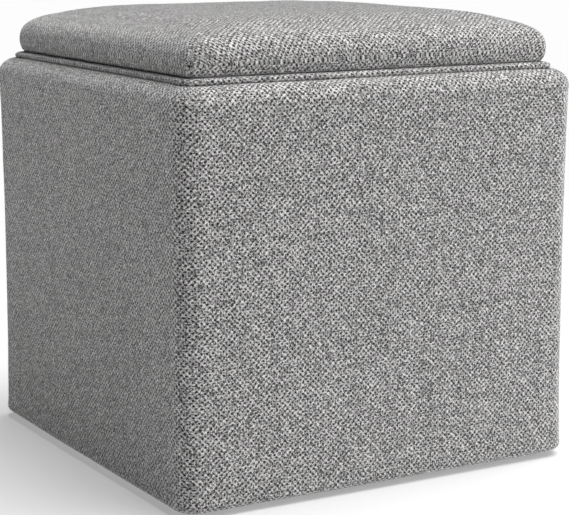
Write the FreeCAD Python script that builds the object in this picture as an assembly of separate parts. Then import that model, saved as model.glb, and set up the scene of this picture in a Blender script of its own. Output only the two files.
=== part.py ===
"""Cube storage ottoman with a lift-off, piped cushion lid.

Millimetres, +Z up. The origin is the centre of the footprint, on the floor. -Y is the front.
The box is a carcass of boards, padded with foam and wrapped in one sewn cover that turns
over the rim and under the base. The lid is a board with a crowned foam cushion, a piped
edge that rests on the rim, and a batten frame below that drops into the box.
"""

import FreeCAD
import Part
import math
import os

V = FreeCAD.Vector

# ---- driving dimensions -------------------------------------------------------------------
OVERALL_WIDTH = 440.0        # across the cover, both ways
OVERALL_HEIGHT = 450.0       # floor to the crown of the cushion
RIM_HEIGHT = 393.0           # floor to the top of the box
GLIDE_HEIGHT = 5.0           # floor to the underside of the cover

COVER_T = 1.5                # upholstery fabric
SIDE_FOAM_T = 10.0           # padding on the walls and on the rim
PANEL_T = 15.0               # wall boards
BASE_T = 9.0                 # bottom board
LINING_T = 1.0
DUST_COVER_T = 1.0
CLEAT = 20.0                 # square battens that carry the bottom board
CORNER_BLOCK_LEG = 55.0

BOX_CORNER_R = 21.0          # upright corners of the box, at the fabric
RIM_R = 16.5                 # outer edge of the rim
RIM_INNER_R = 4.5            # inner edge of the rim
FOOT_R = 6.0                 # bottom edge of the cover
BOARD_CORNER_R = 4.0         # eased upright corners of the carcass
COVER_TURN_IN = 43.0         # how far the cover comes down inside the box
COVER_TURN_UNDER = 40.0      # how far it comes in under the box
LINING_LAP = 22.0            # how far the lining laps over the turned-in cover

LID_HALF = 198.0             # half width of the cushion at its foot
LID_CORNER_R = 20.0
CUSHION_EDGE_R = 22.0        # round-over of the cushion's top edge
CROWN_RISE = 10.0            # how far the dome falls from its middle to mid-side
LID_BOARD_T = 12.0
WADDING_T = 4.0
WELT_R = 3.5                 # piping, outside
WELT_CORD_R = 2.1            # cord in the piping
WELT_HALF = 198.4            # half width to the middle of the piping
WELT_CORNER_R = 15.0
WELT_FLANGE_T = 1.4
FLANGE_INNER_HALF = 172.0
LID_CLEARANCE = 0.3          # between the piping and the rim

TRAY_PANEL_T = 3.0
TRAY_PANEL_HALF = 190.0
BATTEN_HALF = 187.5          # outside of the batten frame
BATTEN_W = 15.0
BATTEN_H = 20.0

GLIDE_R = 12.0
GLIDE_COLLAR_R = 5.0
GLIDE_PLACE = 156.0          # glide centres from the middle, both ways
GLIDE_WELL = 2.0             # how deep the glide's screw head is sunk

DUST_COVER_MARGIN = 20.0     # from the outside of the cover
LID_HEM_LAP = 2.0            # how far the cover's hem comes in past the flange

SCREW_HEAD_R = 3.5
SCREW_SHANK_R = 1.75
SCREW_FIT = 0.05             # pilot hole over the screw, on the radius
PANEL_SCREW = 40.0           # lengths
CLEAT_SCREW = 30.0
BASE_SCREW = 25.0
GLIDE_SCREW = 20.0
BATTEN_SCREW = 32.0
STAPLE_WIRE = 0.8
STAPLE_CROWN = 10.0
STAPLE_LEG = 8.0

# ---- levels and half widths that follow ---------------------------------------------------
HALF = OVERALL_WIDTH / 2
FOAM_HALF = HALF - COVER_T                  # inside of the cover
WOOD_HALF = FOAM_HALF - SIDE_FOAM_T         # outside of the carcass
ROOM_HALF = WOOD_HALF - PANEL_T             # inside of the carcass
MOUTH_HALF = ROOM_HALF - COVER_T            # clear mouth between the turned-in cover
COVER_BOTTOM = GLIDE_HEIGHT
WOOD_BOTTOM = COVER_BOTTOM + COVER_T
RIM_FOAM_TOP = RIM_HEIGHT - COVER_T
WOOD_TOP = RIM_FOAM_TOP - SIDE_FOAM_T
BASE_Z = WOOD_BOTTOM + CLEAT                # underside of the bottom board
FLOOR_Z = BASE_Z + BASE_T                   # top of the bottom board
COVER_IN_Z = RIM_HEIGHT - COVER_TURN_IN     # where the cover ends inside the box
LINING_TOP = COVER_IN_Z + LINING_LAP

WELT_Z = RIM_HEIGHT + LID_CLEARANCE + WELT_R
COVER_FOOT_Z = WELT_Z + WELT_R + 0.2        # underside of the cushion cover
LID_BOARD_Z = COVER_FOOT_Z + COVER_T
LID_BOARD_TOP = LID_BOARD_Z + LID_BOARD_T
FLANGE_Z = COVER_FOOT_Z - WELT_FLANGE_T     # underside of the piping's flange
TRAY_PANEL_Z = FLANGE_Z - TRAY_PANEL_T
BATTEN_Z = TRAY_PANEL_Z - BATTEN_H

SIDES = (("front", 0), ("right", 90), ("rear", 180), ("left", 270))
CORNERS = (("front_left", -1, -1), ("front_right", 1, -1),
           ("rear_right", 1, 1), ("rear_left", -1, 1))


# ---- small shape helpers ------------------------------------------------------------------
def slab(x0, x1, y0, y1, z0, z1):
    """A box between two corners."""
    return Part.makeBox(x1 - x0, y1 - y0, z1 - z0, V(x0, y0, z0))


def square(half, z0, z1, corner_r=0.0):
    """A square prism about the Z axis, with rounded upright corners."""
    solid = slab(-half, half, -half, half, z0, z1)
    if corner_r <= 0:
        return solid
    return solid.makeFillet(corner_r, upright_edges(solid))


def upright_edges(solid):
    """The straight edges of a prism that run along Z."""
    found = []
    for edge in solid.Edges:
        if isinstance(edge.Curve, Part.Line) and abs(edge.Curve.Direction.z) > 0.999:
            found.append(edge)
    return found


def edges_at(solid, z):
    """The edges that lie in the level plane at z."""
    return [e for e in solid.Edges
            if abs(e.BoundBox.ZMin - z) < 1e-4 and abs(e.BoundBox.ZMax - z) < 1e-4]


def turned(solid, degrees):
    """A copy turned about the Z axis."""
    return solid.rotated(V(0, 0, 0), V(0, 0, 1), degrees)


def screw(length, place, direction):
    """A countersunk screw whose head's flat face is centred on place; it runs along direction."""
    head_h = SCREW_HEAD_R - SCREW_SHANK_R
    tip_h = 2 * SCREW_SHANK_R
    cone = Part.makeCone(SCREW_HEAD_R, SCREW_SHANK_R, head_h, place, direction)
    shank_start = place + direction * head_h
    shank = Part.makeCylinder(SCREW_SHANK_R, length - head_h - tip_h, shank_start, direction)
    tip_start = place + direction * (length - tip_h)
    tip = Part.makeCone(SCREW_SHANK_R, SCREW_SHANK_R * 0.15, tip_h, tip_start, direction)
    return cone.fuse(shank).fuse(tip).removeSplitter()


def staple(place, along, inward, proud=0.0):
    """A wire staple: its crown lies along one direction, and its legs point inward."""
    half_wire = STAPLE_WIRE / 2
    side = along.cross(inward)
    start = place - along * (STAPLE_CROWN / 2) - side * half_wire - inward * proud

    def bar(offset, length_along, length_in):
        corner = start + along * offset
        base = [corner, corner + side * STAPLE_WIRE,
                corner + side * STAPLE_WIRE + along * length_along,
                corner + along * length_along]
        face = Part.Face(Part.makePolygon(base + [base[0]]))
        return face.extrude(inward * length_in)

    crown = bar(0, STAPLE_CROWN, STAPLE_WIRE)
    legs = [bar(offset, STAPLE_WIRE, STAPLE_LEG)
            for offset in (0, STAPLE_CROWN - STAPLE_WIRE)]
    return crown.fuse(legs).removeSplitter()


def save(name, shape):
    """Writes one node, after checking that it is sound."""
    shape = shape if isinstance(shape, Part.Shape) else Part.makeCompound(shape)
    sound = shape.isValid() and all(s.isClosed() for s in shape.Solids)
    print("%-24s solids %2d  volume %10.1f  %s" % (name, len(shape.Solids), shape.Volume,
                                                 "ok" if sound else "BAD"))
    shape.exportStep("parts/%s.step" % name)


# ---- fasteners, made first because the boards are drilled for them --------------------------
def panel_screws():
    """Screws through the front and rear boards into the ends of the side boards."""
    x = ROOM_HALF + PANEL_T / 2
    levels = [WOOD_BOTTOM + 45 + i * 95 for i in range(4)]
    return [screw(PANEL_SCREW, V(sx * x, sy * WOOD_HALF, z), V(0, -sy, 0))
            for sx in (-1, 1) for sy in (-1, 1) for z in levels]


def cleat_screws():
    """Screws through the cleats into the walls."""
    z = WOOD_BOTTOM + CLEAT / 2
    inner = -(ROOM_HALF - CLEAT)
    made = []
    for _, angle in SIDES:
        for x in (-120, 0, 120):
            made.append(turned(screw(CLEAT_SCREW, V(x, inner, z), V(0, -1, 0)), angle))
    return made


def base_screws():
    """Screws through the bottom board into the cleats."""
    y = -(ROOM_HALF - CLEAT / 2)
    made = []
    for _, angle in SIDES:
        for x in (-75, 75):
            made.append(turned(screw(BASE_SCREW, V(x, y, FLOOR_Z), V(0, 0, -1)), angle))
    return made


def glide_screws():
    """One screw up through each glide into its corner block; its head is sunk in the glide."""
    return [screw(GLIDE_SCREW, V(sx * GLIDE_PLACE, sy * GLIDE_PLACE, GLIDE_WELL), V(0, 0, 1))
            for _, sx, sy in CORNERS]


def batten_screws():
    """Screws down through the lid board into the batten frame, hidden below the foam."""
    y = -(BATTEN_HALF - BATTEN_W / 2)
    made = []
    for _, angle in SIDES:
        for x in (-120, 0, 120):
            place = V(x, y, LID_BOARD_TOP)
            made.append(turned(screw(BATTEN_SCREW, place, V(0, 0, -1)), angle))
    return made


def drilled(solid, screws):
    """The solid with a pilot hole for each screw that meets it."""
    near = [s for s in screws if s.BoundBox.intersect(solid.BoundBox)]
    if not near:
        return solid
    holes = [s.makeOffsetShape(SCREW_FIT, 0.01) for s in near]
    return solid.cut(holes)


# ---- the carcass --------------------------------------------------------------------------
def wall_panels(screws):
    """Front and rear boards run the full width; the side boards fit between them."""
    made = {}
    for name, angle in SIDES:
        if name in ("front", "rear"):
            board = slab(-WOOD_HALF, WOOD_HALF, -WOOD_HALF, -ROOM_HALF, WOOD_BOTTOM, WOOD_TOP)
            outer = [e for e in upright_edges(board) if e.BoundBox.YMax < -ROOM_HALF - 1]
            board = board.makeFillet(BOARD_CORNER_R, outer)
        else:
            board = slab(-ROOM_HALF, ROOM_HALF, -WOOD_HALF, -ROOM_HALF, WOOD_BOTTOM, WOOD_TOP)
        made[name + "_panel"] = drilled(turned(board, angle), screws)
    return made


def base_parts(screws):
    """The cleats round the foot, the blocks in its corners, and the bottom board on them."""
    made = {"base_panel": drilled(square(ROOM_HALF, BASE_Z, FLOOR_Z), screws)}
    inner = ROOM_HALF - CLEAT
    for name, angle in SIDES:
        length = ROOM_HALF if name in ("front", "rear") else inner
        cleat = slab(-length, length, -ROOM_HALF, -inner, WOOD_BOTTOM, BASE_Z)
        made["base_cleat_" + name] = drilled(turned(cleat, angle), screws)
    for name, sx, sy in CORNERS:
        corner = V(sx * inner, sy * inner, WOOD_BOTTOM)
        outline = [corner, corner - V(sx * CORNER_BLOCK_LEG, 0, 0),
                   corner - V(0, sy * CORNER_BLOCK_LEG, 0), corner]
        block = Part.Face(Part.makePolygon(outline)).extrude(V(0, 0, CLEAT))
        made["corner_block_" + name] = drilled(block, screws)
    return made


# ---- padding and cover of the box -----------------------------------------------------------
def box_form(inset):
    """The padded outside of the box, taken in by inset."""
    half = HALF - inset
    z0, z1 = COVER_BOTTOM + inset, RIM_HEIGHT - inset
    form = square(half, z0, z1, BOX_CORNER_R - inset)
    form = form.makeFillet(RIM_R - inset, edges_at(form, z1))
    return form.makeFillet(FOOT_R - inset, edges_at(form, z0))


def padded_form():
    """What the cover is wrapped round: boards and foam, open in the middle."""
    form = box_form(COVER_T).cut(square(ROOM_HALF, 0, OVERALL_HEIGHT))
    inner_rim = [e for e in edges_at(form, RIM_FOAM_TOP)
                 if max(abs(e.CenterOfMass.x), abs(e.CenterOfMass.y)) < ROOM_HALF + 0.01
                 and isinstance(e.Curve, Part.Line)]
    return form.makeFillet(RIM_INNER_R - COVER_T, inner_rim)


def wedge(z0, z1):
    """The quarter of the plan in front of the origin, cut along the diagonals."""
    reach = OVERALL_WIDTH
    outline = [V(0, 0, z0), V(-reach, -reach, z0), V(reach, -reach, z0), V(0, 0, z0)]
    return Part.Face(Part.makePolygon(outline)).extrude(V(0, 0, z1 - z0))


def padding():
    """A foam sheet on each wall and a foam strip on each rim, all mitred at the corners."""
    form = padded_form()
    carcass = square(WOOD_HALF, WOOD_BOTTOM, WOOD_TOP, BOARD_CORNER_R)
    rim = form.common(square(HALF, WOOD_TOP, RIM_HEIGHT))
    jacket = form.common(square(HALF, WOOD_BOTTOM, WOOD_TOP)).cut(carcass)
    quarter = wedge(0, OVERALL_HEIGHT)
    made = {}
    for name, angle in SIDES:
        made[name + "_foam"] = jacket.common(turned(quarter, angle))
        made["rim_foam_" + name] = rim.common(turned(quarter, angle))
    return made


def outer_cover(form):
    """One sewn fabric wrap: round the walls, over the rim, and turned under the base."""
    skin = box_form(0).cut(square(MOUTH_HALF, COVER_IN_Z, OVERALL_HEIGHT))
    inner_rim = [e for e in edges_at(skin, RIM_HEIGHT)
                 if max(abs(e.CenterOfMass.x), abs(e.CenterOfMass.y)) < MOUTH_HALF + 0.01
                 and isinstance(e.Curve, Part.Line)]
    skin = skin.makeFillet(RIM_INNER_R, inner_rim)
    under_half = HALF - COVER_TURN_UNDER
    skin = skin.cut(square(under_half, 0, WOOD_BOTTOM))
    skin = skin.cut(square(ROOM_HALF, WOOD_BOTTOM, COVER_IN_Z))
    return skin.cut(form)


def lining():
    """The fabric tube on the walls, its top lapped over the turned-in cover, and the floor."""
    lower = square(ROOM_HALF, FLOOR_Z, COVER_IN_Z)
    upper = square(MOUTH_HALF, COVER_IN_Z - LINING_T, LINING_TOP)
    room = square(ROOM_HALF - LINING_T, FLOOR_Z, COVER_IN_Z - LINING_T)
    neck = square(MOUTH_HALF - LINING_T, COVER_IN_Z - LINING_T, LINING_TOP)
    walls = lower.fuse(upper).cut([room, neck]).removeSplitter()
    floor = square(ROOM_HALF - LINING_T, FLOOR_Z, FLOOR_Z + LINING_T)
    return {"wall_lining": walls, "floor_lining": floor}


def underside():
    """The dust cover and the glides that stand on the floor."""
    dust_z = COVER_BOTTOM - DUST_COVER_T
    sheet = square(HALF - DUST_COVER_MARGIN, dust_z, COVER_BOTTOM, 8)
    made = {}
    for name, sx, sy in CORNERS:
        centre = V(sx * GLIDE_PLACE, sy * GLIDE_PLACE, 0)
        disc = Part.makeCylinder(GLIDE_R, dust_z, centre)
        disc = disc.makeFillet(1.2, edges_at(disc, 0))
        collar = Part.makeCylinder(GLIDE_COLLAR_R, WOOD_BOTTOM - dust_z, centre + V(0, 0, dust_z))
        sheet = sheet.cut(collar)
        glide = disc.fuse(collar)
        well = Part.makeCylinder(SCREW_HEAD_R + SCREW_FIT, GLIDE_WELL, centre)
        made["glide_" + name] = drilled(glide.cut(well), glide_screws())
    made["dust_cover"] = sheet
    return made


# ---- the lid ------------------------------------------------------------------------------
def cushion_form(inset, z0):
    """The crowned outside of the cushion from z0 up, taken in by inset."""
    half = LID_HALF - inset
    top = OVERALL_HEIGHT - inset
    ball_r = (LID_HALF ** 2 + CROWN_RISE ** 2) / (2 * CROWN_RISE) - inset
    block = square(half, RIM_HEIGHT - 20, top, max(LID_CORNER_R - inset, 2.0))
    ball = Part.makeSphere(ball_r, V(0, 0, top - ball_r))
    form = block.common(ball)
    dome = [f for f in form.Faces if isinstance(f.Surface, Part.Sphere)]
    form = form.makeFillet(CUSHION_EDGE_R - inset, dome[0].Edges)
    return form.common(square(LID_HALF + 10, z0, OVERALL_HEIGHT + 10))


def ring(half, corner_r, z, profile_r):
    """A round cord along a level square with rounded corners."""
    straight = half - corner_r
    tube = []
    for _, angle in SIDES:
        run = Part.makeCylinder(profile_r, 2 * straight, V(-straight, -half, z), V(1, 0, 0))
        bend = Part.makeTorus(corner_r, profile_r, V(straight, -straight, z), V(0, 0, 1),
                              -180, 180, 90)
        bend = bend.rotated(V(straight, -straight, z), V(0, 0, 1), -90)
        tube += [turned(run, angle), turned(bend, angle)]
    return tube[0].fuse(tube[1:]).removeSplitter()


def lid_soft_parts(screws):
    """Foam, wadding and cover, each wrapped in the next."""
    foam = cushion_form(COVER_T + WADDING_T, LID_BOARD_TOP)
    wadding = cushion_form(COVER_T, LID_BOARD_TOP).cut(foam)
    inside = cushion_form(COVER_T, LID_BOARD_Z)
    cover = cushion_form(0, COVER_FOOT_Z).cut(inside)
    hem_half = FLANGE_INNER_HALF - LID_HEM_LAP
    cover = drilled(cover.cut(square(hem_half, COVER_FOOT_Z, LID_BOARD_Z)), screws)
    return {"lid_foam": foam, "lid_wadding": wadding, "lid_cover": cover}


def welt(screws):
    """The piping: a cord in a fabric sleeve whose flange is fixed below the board."""
    cord = ring(WELT_HALF, WELT_CORNER_R, WELT_Z, WELT_CORD_R)
    sleeve = ring(WELT_HALF, WELT_CORNER_R, WELT_Z, WELT_R)
    flange = square(WELT_HALF, FLANGE_Z, COVER_FOOT_Z, WELT_CORNER_R)
    flange = flange.cut(square(FLANGE_INNER_HALF, FLANGE_Z, COVER_FOOT_Z))
    sleeve = sleeve.fuse(flange).cut(cord).removeSplitter()
    return {"welt_cord": cord, "welt_sleeve": drilled(sleeve, screws)}


def lid_hard_parts(screws):
    """The lid board, the thin panel below it and the mitred frame that locates the lid."""
    board = cushion_form(COVER_T, LID_BOARD_Z).common(square(LID_HALF, LID_BOARD_Z, LID_BOARD_TOP))
    made = {"lid_board": drilled(board, screws)}
    tray = square(TRAY_PANEL_HALF, TRAY_PANEL_Z, FLANGE_Z, 4)
    made["tray_panel"] = drilled(tray, screws)
    frame = square(BATTEN_HALF, BATTEN_Z, TRAY_PANEL_Z, 4)
    frame = frame.cut(square(BATTEN_HALF - BATTEN_W, BATTEN_Z, TRAY_PANEL_Z))
    quarter = wedge(0, OVERALL_HEIGHT)
    for name, angle in SIDES:
        batten = frame.common(turned(quarter, angle))
        lower = [e for e in edges_at(batten, BATTEN_Z) if e.Length > 2 * BATTEN_W]
        batten = batten.makeFillet(2.0, lower)
        made["tray_batten_" + name] = drilled(batten, screws)
    return made


# ---- staples ------------------------------------------------------------------------------
def staple_row(y, z, inward, count, pitch, proud):
    """Staples along the front, repeated on the other sides."""
    made = []
    for _, angle in SIDES:
        for i in range(count):
            x = (i - (count - 1) / 2) * pitch
            made.append(turned(staple(V(x, y, z), V(1, 0, 0), inward, proud), angle))
    return made


def staples():
    """The rows that hold the dust cover, the turned-in cover and the lid's cover."""
    dust_z = COVER_BOTTOM - DUST_COVER_T
    return {
        "dust_cover_staples": staple_row(-(HALF - DUST_COVER_MARGIN - 3), dust_z, V(0, 0, 1), 9, 42, 0.5),
        "rim_staples": staple_row(-MOUTH_HALF, COVER_IN_Z + 12, V(0, -1, 0), 7, 52, 0.0),
        "lid_staples": staple_row(-(FLANGE_INNER_HALF + 9), FLANGE_Z, V(0, 0, 1), 8, 40, 0.0),
    }


# ---- everything -----------------------------------------------------------------------------
def main():
    os.makedirs("parts", exist_ok=True)
    walls, cleats, base = panel_screws(), cleat_screws(), base_screws()
    glides, battens = glide_screws(), batten_screws()
    carcass_screws = walls + cleats + base + glides

    nodes = {"panel_screws": walls, "cleat_screws": cleats, "base_screws": base,
             "glide_screws": glides, "batten_screws": battens}
    nodes.update(wall_panels(carcass_screws))
    nodes.update(base_parts(carcass_screws))
    nodes.update(padding())
    nodes["outer_cover"] = outer_cover(padded_form())
    nodes.update(lining())
    nodes.update(underside())
    nodes.update(lid_hard_parts(battens))
    nodes.update(lid_soft_parts(battens))
    nodes.update(welt(battens))
    nodes.update(staples())
    for name, shape in nodes.items():
        save(name, shape)
    print(len(nodes), "nodes")


main()
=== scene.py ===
import math

import bpy
import numpy as np
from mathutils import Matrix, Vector, noise


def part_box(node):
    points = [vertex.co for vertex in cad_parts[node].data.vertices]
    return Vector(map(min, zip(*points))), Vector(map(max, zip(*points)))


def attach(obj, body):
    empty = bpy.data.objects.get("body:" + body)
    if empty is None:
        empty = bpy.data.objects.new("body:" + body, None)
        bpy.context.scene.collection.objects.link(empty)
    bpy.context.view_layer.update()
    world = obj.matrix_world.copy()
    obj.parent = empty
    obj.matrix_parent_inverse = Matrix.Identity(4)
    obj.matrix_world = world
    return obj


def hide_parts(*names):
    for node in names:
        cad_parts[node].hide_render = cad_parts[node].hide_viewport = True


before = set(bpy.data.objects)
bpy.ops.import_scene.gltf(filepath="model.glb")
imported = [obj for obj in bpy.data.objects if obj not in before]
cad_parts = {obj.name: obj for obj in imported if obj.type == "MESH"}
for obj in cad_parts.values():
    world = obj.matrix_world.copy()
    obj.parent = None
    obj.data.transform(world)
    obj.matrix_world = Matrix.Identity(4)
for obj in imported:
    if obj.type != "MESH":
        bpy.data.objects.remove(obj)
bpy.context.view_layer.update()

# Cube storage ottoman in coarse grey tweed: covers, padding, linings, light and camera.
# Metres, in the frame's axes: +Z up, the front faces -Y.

# ---- sizes read from the frame ---------------------------------------------
cover_low, cover_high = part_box("outer_cover")
lid_low, lid_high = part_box("lid_cover")
lining_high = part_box("wall_lining")[1]
dust_low, dust_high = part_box("dust_cover")
wood_low, wood_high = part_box("front_panel")
base_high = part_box("base_panel")[1]

HALF = cover_high.x                     # outside of the box cover
COVER_Z = cover_low.z                   # underside of the box cover
SETTLED = 0.0006                        # the lid's weight presses the rim down
RIM_Z = cover_high.z - SETTLED          # top of the rim
WOOD_HALF = wood_high.x                 # outside of the boards
WOOD_TOP, WOOD_BOTTOM = wood_high.z, wood_low.z
ROOM_HALF = base_high.x                 # inside of the boards
FLOOR_Z = base_high.z                   # top of the bottom board
LID_BOARD_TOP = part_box("lid_board")[1].z
LID_FOOT_Z = lid_low.z                  # underside of the cushion's cover
CROWN_Z = lid_high.z

# ---- sizes of the soft parts -----------------------------------------------
CLOTH_T = 0.0013             # upholstery fabric
GAP = 0.0003                 # between layers, so that no two surfaces lie in one plane
PADDING_INSET = CLOTH_T + 0.0009   # from the cover's outside to the foam
BOARD_CORNER_R = 0.004
MOUTH_HALF = ROOM_HALF - 0.0015
TURN_IN = 0.043              # the cover's turned-in strip, down from the rim
TURN_UNDER = 0.040           # the cover's strip under the base
BOX_CORNER_R = 0.0208
SIDE_BULGE = 0.0010          # padding pushes the middle of each side out
RIM_FLARE, RIM_FADE = 0.0021, 0.068
FOOT_FLARE, FOOT_FADE = 0.0022, 0.064
RIM_R, RIM_INNER_R, FOOT_R = 0.0180, 0.0045, 0.0074
CORNER_TIGHTENING = 0.7      # the corner radius lost for each metre that the cover turns in
LEAST_CORNER_R = 0.0016
BULGE_REACH = 0.020          # the turned-in cover is straight from here on

# the rim sinks a little at its corners
CORNER_AT, CORNER_REACH, CORNER_SINK = 0.203, 0.026, 0.0006
SINK_LEVELS = (0.020, 0.002)   # below the rim: where it sets in, and where it is full
SINK_INSETS = (0.006, 0.002)   # inwards from the middle of the piping, likewise

CUSHION_HALF = 0.1990
CUSHION_BULGE = 0.0015
CUSHION_CORNER_R = 0.0095
CUSHION_SOFTNESS = 0.190     # how fast the level rings turn round towards the middle
CUSHION_SIDE_TOP = 0.4100    # where the upright side ends and the dome begins
DOME_FLATNESS, DOME_SHOULDER = 7.0, 3.1
DOME_TOP = CROWN_Z - 0.0059  # before the filling pushes it up

# amount and size of the unevenness that padding gives a cover
WALL_RUFFLE = (0.00045, 0.085)
CUSHION_RUFFLE = (0.0006, 0.070)
PIPING_RUFFLE = (0.00018, 0.016)
FINE_SHARE, FINE_SCALE = 0.35, 3.1   # its smaller part, and how many times smaller that is
STILL_FADE = 0.008

# sewn seams: depth, width, and the cloth that puffs up beside them
BOX_SEAM, CUSHION_SEAM = 0.0010, 0.0013
SEAM_WIDE = 0.0011
SEAM_PUFF, PUFF_AT, PUFF_WIDE = 0.35, 0.0032, 0.0016


# ---- camera and light ------------------------------------------------------
VIEW_AZIMUTH, VIEW_ELEVATION = math.radians(-30.09), math.radians(10.49)
VIEW_DISTANCE = 1.917
VIEW_AIM = Vector((0.0114, -0.0300))     # right and up, from the middle of the object
LENS, SENSOR = 116.8, 36.0
CUSHION_RISE = 0.041                     # from the rim to the crown, for the aim

SKY_STRENGTH = 0.02
KEY_FROM, KEY_STRENGTH, KEY_SOFTNESS = (0.27, -0.12, 0.955), 4.45, 50
SOFTBOX_PLACE, SOFTBOX_AIM = Vector((1.1, -1.0, 0.55)), Vector((0.2, -0.2, 0.25))
SOFTBOX_SIZE, SOFTBOX_POWER = 0.7, 5.5


def make_camera():
    """The camera, aimed at the middle of the object from its front left."""
    a, e = VIEW_AZIMUTH, VIEW_ELEVATION
    back = Vector((math.sin(a) * math.cos(e), -math.cos(a) * math.cos(e), math.sin(e)))
    right = Vector((math.cos(a), math.sin(a), 0))
    up = back.cross(right)
    middle = Vector((0, 0, (COVER_Z + cover_high.z + CUSHION_RISE) / 2))
    target = middle + right * VIEW_AIM.x + up * VIEW_AIM.y
    data = bpy.data.cameras.new("camera")
    data.lens, data.sensor_width = LENS, SENSOR
    data.clip_start, data.clip_end = 0.05, 200
    camera = bpy.data.objects.new("camera", data)
    camera.location = target + back * VIEW_DISTANCE
    camera.rotation_mode = "QUATERNION"
    camera.rotation_quaternion = back.to_track_quat("Z", "Y")
    bpy.context.collection.objects.link(camera)
    bpy.context.scene.camera = camera


def add_light(name, kind, strength, back):
    """A light that shines away from the direction back."""
    data = bpy.data.lights.new(name, kind)
    data.energy = strength
    light = bpy.data.objects.new(name, data)
    light.rotation_mode = "QUATERNION"
    light.rotation_quaternion = Vector(back).to_track_quat("Z", "Y")
    bpy.context.collection.objects.link(light)
    return light


def make_light():
    """A pale studio: a dim world, one large soft light above, and a softbox at the front right."""
    world = bpy.data.worlds.new("studio")
    world.use_nodes = True
    sky = world.node_tree.nodes["Background"]
    sky.inputs["Color"].default_value = (1.0, 1.0, 1.0, 1.0)
    sky.inputs["Strength"].default_value = SKY_STRENGTH
    bpy.context.scene.world = world
    sun = add_light("key", "SUN", KEY_STRENGTH, KEY_FROM)
    sun.data.angle = math.radians(KEY_SOFTNESS)
    softbox = add_light("softbox", "AREA", SOFTBOX_POWER, SOFTBOX_PLACE - SOFTBOX_AIM)
    softbox.data.shape, softbox.data.size = "SQUARE", SOFTBOX_SIZE
    softbox.location = SOFTBOX_PLACE
    softbox.visible_camera = False
    bpy.context.scene.view_settings.view_transform = "Standard"


# ---- material nodes --------------------------------------------------------
class Nodes:
    """Short calls for one material's nodes."""

    def __init__(self, name):
        self.material = bpy.data.materials.new(name)
        self.material.use_nodes = True
        self.tree = self.material.node_tree
        self.shader = self.tree.nodes["Principled BSDF"]

    def put(self, socket, value):
        """Links a socket to another, or sets it to a constant."""
        if isinstance(value, bpy.types.NodeSocket):
            self.tree.links.new(value, socket)
        elif value is not None:
            socket.default_value = value

    def new(self, kind, *values, **settings):
        """A node with its settings made and its first sockets filled in order."""
        node = self.tree.nodes.new("ShaderNode" + kind)
        for name, value in settings.items():
            setattr(node, name, value)
        for socket, value in zip(node.inputs, values):
            self.put(socket, value)
        return node

    def math(self, operation, *values):
        return self.new("Math", *values, operation=operation).outputs[0]

    def plus(self, a, b):
        return self.math("ADD", a, b)

    def minus(self, a, b):
        return self.math("SUBTRACT", a, b)

    def times(self, a, b):
        return self.math("MULTIPLY", a, b)

    def vector(self, operation, *values):
        return self.new("VectorMath", *values, operation=operation).outputs[0]

    def scaled(self, vector, factor):
        node = self.new("VectorMath", vector, operation="SCALE")
        self.put(node.inputs["Scale"], factor)
        return node.outputs[0]

    def join(self, x, y, z=0.0):
        return self.new("CombineXYZ", x, y, z).outputs[0]

    def split(self, vector):
        return self.new("SeparateXYZ", vector).outputs

    def noise(self, vector, scale, detail=2.0, roughness=0.5, output="Fac"):
        node = self.new("TexNoise", vector)
        self.put(node.inputs["Scale"], scale)
        self.put(node.inputs["Detail"], detail)
        self.put(node.inputs["Roughness"], roughness)
        return node.outputs[output]

    def flakes(self, vector, scale):
        """A random number for each small patch."""
        node = self.new("TexVoronoi", vector)
        self.put(node.inputs["Scale"], scale)
        return self.split(node.outputs["Color"])[0]

    def chance(self, vector):
        """An even random number for each whole-number place."""
        return self.new("TexWhiteNoise", vector, noise_dimensions="3D").outputs["Value"]

    def mix(self, factor, a, b):
        return self.new("Mix", factor, None, a, b, data_type="FLOAT").outputs[0]

    def shaded(self, colour, light):
        """A colour multiplied by a level of light."""
        node = self.new("Mix", 1.0, data_type="RGBA", blend_type="MULTIPLY")
        self.put(node.inputs[6], colour)
        self.put(node.inputs[7], self.join(light, light, light))
        return node.outputs[2]

    def ramp(self, factor, stops):
        node = self.new("ValToRGB", factor)
        elements = node.color_ramp.elements
        while len(elements) < len(stops):
            elements.new(0.5)
        for element, (place, colour) in zip(elements, stops):
            element.position = place
            element.color = colour
        return node.outputs[0]

    def uv(self, name):
        return self.new("UVMap", uv_map=name).outputs[0]

    def place(self):
        return self.new("TexCoord").outputs["Object"]

    def bump(self, height, distance):
        node = self.new("Bump")
        self.put(node.inputs["Height"], height)
        self.put(node.inputs["Distance"], distance)
        self.put(node.inputs["Strength"], 1.0)
        self.tree.links.new(node.outputs[0], self.shader.inputs["Normal"])

    def set(self, **values):
        for name, value in values.items():
            self.put(self.shader.inputs[name.replace("_", " ")], value)


def grey(value, warmth=0.0):
    """A neutral colour, a little warmer or cooler."""
    return (value * (1 + warmth), value, value * (1 - warmth), 1.0)


WEAVE_PITCH = 0.00278                   # from yarn to yarn
YARN_WANDER = 0.0020                    # how far the yarns stray
GAP_STRAY, GAP_SIZE = (0.36, 0.32), (0.40, 0.34)   # the gaps, darkened with painted shade, in shares of a cell
GAP_DEPTH, GAP_DEPTH_SPREAD = 1.32, 0.95
CELL_EDGE = 0.10                        # painted shade: how much darker a cell is at its edge
TONE, CELL_TONE, YARN_TONE, FIBRE_TONE, FLECK_TONE = 0.50, 0.27, 0.10, 1.4, 1.2
TWEED_SHADES = ((0.0, 0.079), (0.25, 0.228), (0.55, 0.465), (1.0, 0.865))


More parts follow.
